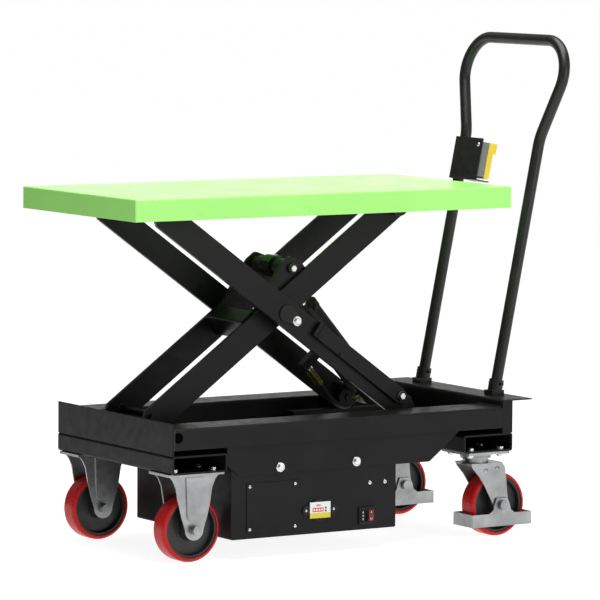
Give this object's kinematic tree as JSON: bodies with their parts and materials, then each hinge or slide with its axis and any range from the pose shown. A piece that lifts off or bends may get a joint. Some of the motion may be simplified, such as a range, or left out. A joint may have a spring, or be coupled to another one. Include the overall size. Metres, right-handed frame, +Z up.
{
  "type": "scissor lift table",
  "caption": "Wheeled scissor lift table with a flat top, crossed arms, hydraulic cylinder, power box, push handle, fixed and swivel casters and a hand control.",
  "frame": {"origin": "on the floor under the middle of the overall length and width", "axes": "+Z up, +X towards the push handle, -Y is the operator's left side with the access panel"},
  "size_m": [1.2233, 0.529, 1.1674],
  "materials": {
    "table_green": "gloss powder coat",
    "frame_black": "satin powder coat",
    "arm_black": "semi-gloss paint",
    "zinc": "zinc plated",
    "dark_steel": "blackened steel",
    "chrome_rod": "ground and chromed",
    "brass_fitting": "olive passivated",
    "hose_rubber": "matt",
    "handle_black": "satin powder coat",
    "tread_red": "smooth polyurethane",
    "core_black": "painted",
    "plastic_black": "moulded",
    "switch_red": "moulded",
    "control_grey": "moulded",
    "control_yellow": "moulded",
    "battery_case": "moulded",
    "pump_alloy": "cast"
  },
  "bodies": {
    "root": {"access_panel": "frame_black", "base_lugs": "frame_black", "batteries": "battery_case", "box_cover": "frame_black", "caster_channels": "frame_black", "charge_inlet": "plastic_black", "chassis_bolts": "zinc", "control_case": "control_grey", "control_cover": "control_yellow", "control_holder": "handle_black", "fixed_axles": "zinc", "fixed_forks": "zinc", "front_end_plate": "frame_black", "gauge_bezel": "plastic_black", "handle_sockets": "handle_black", "hanger_plates": "frame_black", "lower_roller_tracks": "frame_black", "power_box": "frame_black", "pump_unit": "pump_alloy", "push_handle": "handle_black", "rear_shelf": "frame_black", "side_rail_left": "frame_black", "side_rail_right": "frame_black", "small_screws": "zinc", "swivel_plates": "zinc"},
    "inner_arms": {"inner_arm_left": "arm_black", "inner_arm_right": "arm_black", "inner_cross_tubes": "arm_black", "cylinder_lugs": "arm_black", "inner_arm_pins": "dark_steel"},
    "outer_arms": {"outer_arm_left": "arm_black", "outer_arm_right": "arm_black", "outer_top_shaft": "arm_black", "outer_arm_pins": "dark_steel"},
    "table": {"table_top": "table_green", "table_tracks": "frame_black"},
    "rod": {"piston_rod": "chrome_rod"},
    "barrel": {"cylinder_barrel": "arm_black", "hose_fittings": "brass_fitting", "hydraulic_hose": "hose_rubber"},
    "lower_rollers": {"lower_rollers": "dark_steel"},
    "upper_rollers": {"upper_rollers": "dark_steel"},
    "prop": {"maintenance_prop": "arm_black"},
    "up_button": {"up_button": "plastic_black"},
    "down_button": {"down_button": "plastic_black"},
    "rocker": {"rocker_switch": "switch_red"},
    "front_wheel_left": {"front_tread_left": "tread_red", "front_core_left": "core_black"},
    "rear_wheel_left": {"rear_tread_left": "tread_red", "rear_core_left": "core_black"},
    "swivel_left": {"swivel_fork_left": "zinc", "swivel_axle_left": "zinc", "foot_guard_left": "zinc"},
    "front_wheel_right": {"front_tread_right": "tread_red", "front_core_right": "core_black"},
    "rear_wheel_right": {"rear_tread_right": "tread_red", "rear_core_right": "core_black"},
    "swivel_right": {"swivel_fork_right": "zinc", "swivel_axle_right": "zinc", "foot_guard_right": "zinc"}
  },
  "joints": [
    {"name": "lift", "type": "hinge", "parent": "root", "child": "inner_arms", "pos_m": [-0.4662, 0, 0.3044], "axis": [0, -1, 0], "range_deg": [-26.87, 9.13]},
    {"name": "arm_cross", "type": "hinge", "parent": "inner_arms", "child": "outer_arms", "pos_m": [-0.14125, 0, 0.53936], "axis": [0, -1, 0], "range_deg": [-18.5, 54]},
    {"name": "table_level", "type": "hinge", "parent": "outer_arms", "child": "table", "pos_m": [-0.4662, 0, 0.77433], "axis": [0, -1, 0], "range_deg": [-27, 9.3]},
    {"name": "rod_pivot", "type": "hinge", "parent": "inner_arms", "child": "rod", "pos_m": [-0.09305, 0, 0.6374], "axis": [0, -1, 0], "range_deg": [-18, 52.5]},
    {"name": "cylinder_stroke", "type": "slide", "parent": "rod", "child": "barrel", "axis": [0.6501, 0, -0.7598], "range_m": [-0.097, 0.0331]},
    {"name": "lower_roller_spin", "type": "hinge", "parent": "outer_arms", "child": "lower_rollers", "pos_m": [0.1837, 0, 0.3044], "axis": [0, 1, 0], "continuous": true},
    {"name": "upper_roller_spin", "type": "hinge", "parent": "inner_arms", "child": "upper_rollers", "pos_m": [0.1837, 0, 0.77433], "axis": [0, 1, 0], "continuous": true},
    {"name": "prop_swing", "type": "hinge", "parent": "outer_arms", "child": "prop", "pos_m": [0.16664, -0.144, 0.33389], "axis": [0, -1, 0], "range_deg": [0, 35]},
    {"name": "front_wheel_spin_left", "type": "hinge", "parent": "root", "child": "front_wheel_left", "pos_m": [-0.4465, -0.205, 0.075], "axis": [0, 1, 0], "continuous": true},
    {"name": "swivel_turn_left", "type": "hinge", "parent": "root", "child": "swivel_left", "pos_m": [0.3396, -0.205, 0.18], "axis": [0, 0, 1], "continuous": true},
    {"name": "rear_wheel_spin_left", "type": "hinge", "parent": "swivel_left", "child": "rear_wheel_left", "pos_m": [0.3896, -0.205, 0.075], "axis": [0, 1, 0], "continuous": true},
    {"name": "front_wheel_spin_right", "type": "hinge", "parent": "root", "child": "front_wheel_right", "pos_m": [-0.4465, 0.205, 0.075], "axis": [0, 1, 0], "continuous": true},
    {"name": "swivel_turn_right", "type": "hinge", "parent": "root", "child": "swivel_right", "pos_m": [0.3396, 0.205, 0.18], "axis": [0, 0, 1], "continuous": true},
    {"name": "rear_wheel_spin_right", "type": "hinge", "parent": "swivel_right", "child": "rear_wheel_right", "pos_m": [0.3896, 0.205, 0.075], "axis": [0, 1, 0], "continuous": true},
    {"name": "up_button_press", "type": "slide", "parent": "root", "child": "up_button", "axis": [-0.9796, 0, 0.2009], "range_m": [0, 0.003], "stiffness_N_per_m": 400},
    {"name": "down_button_press", "type": "slide", "parent": "root", "child": "down_button", "axis": [-0.9796, 0, 0.2009], "range_m": [0, 0.003], "stiffness_N_per_m": 400},
    {"name": "rocker_tilt", "type": "hinge", "parent": "root", "child": "rocker", "pos_m": [0.014, -0.2567, 0.0785], "axis": [1, 0, 0], "range_deg": [-6, 6]}
  ],
  "couplings": [
    {"joint": "arm_cross", "follows": "lift", "ratio": -2},
    {"joint": "table_level", "follows": "lift", "ratio": 1},
    {"joint": "rod_pivot", "follows": "lift", "ratio": -1.9401},
    {"joint": "cylinder_stroke", "follows": "lift", "m_per_rad": 0.20564}
  ]
}
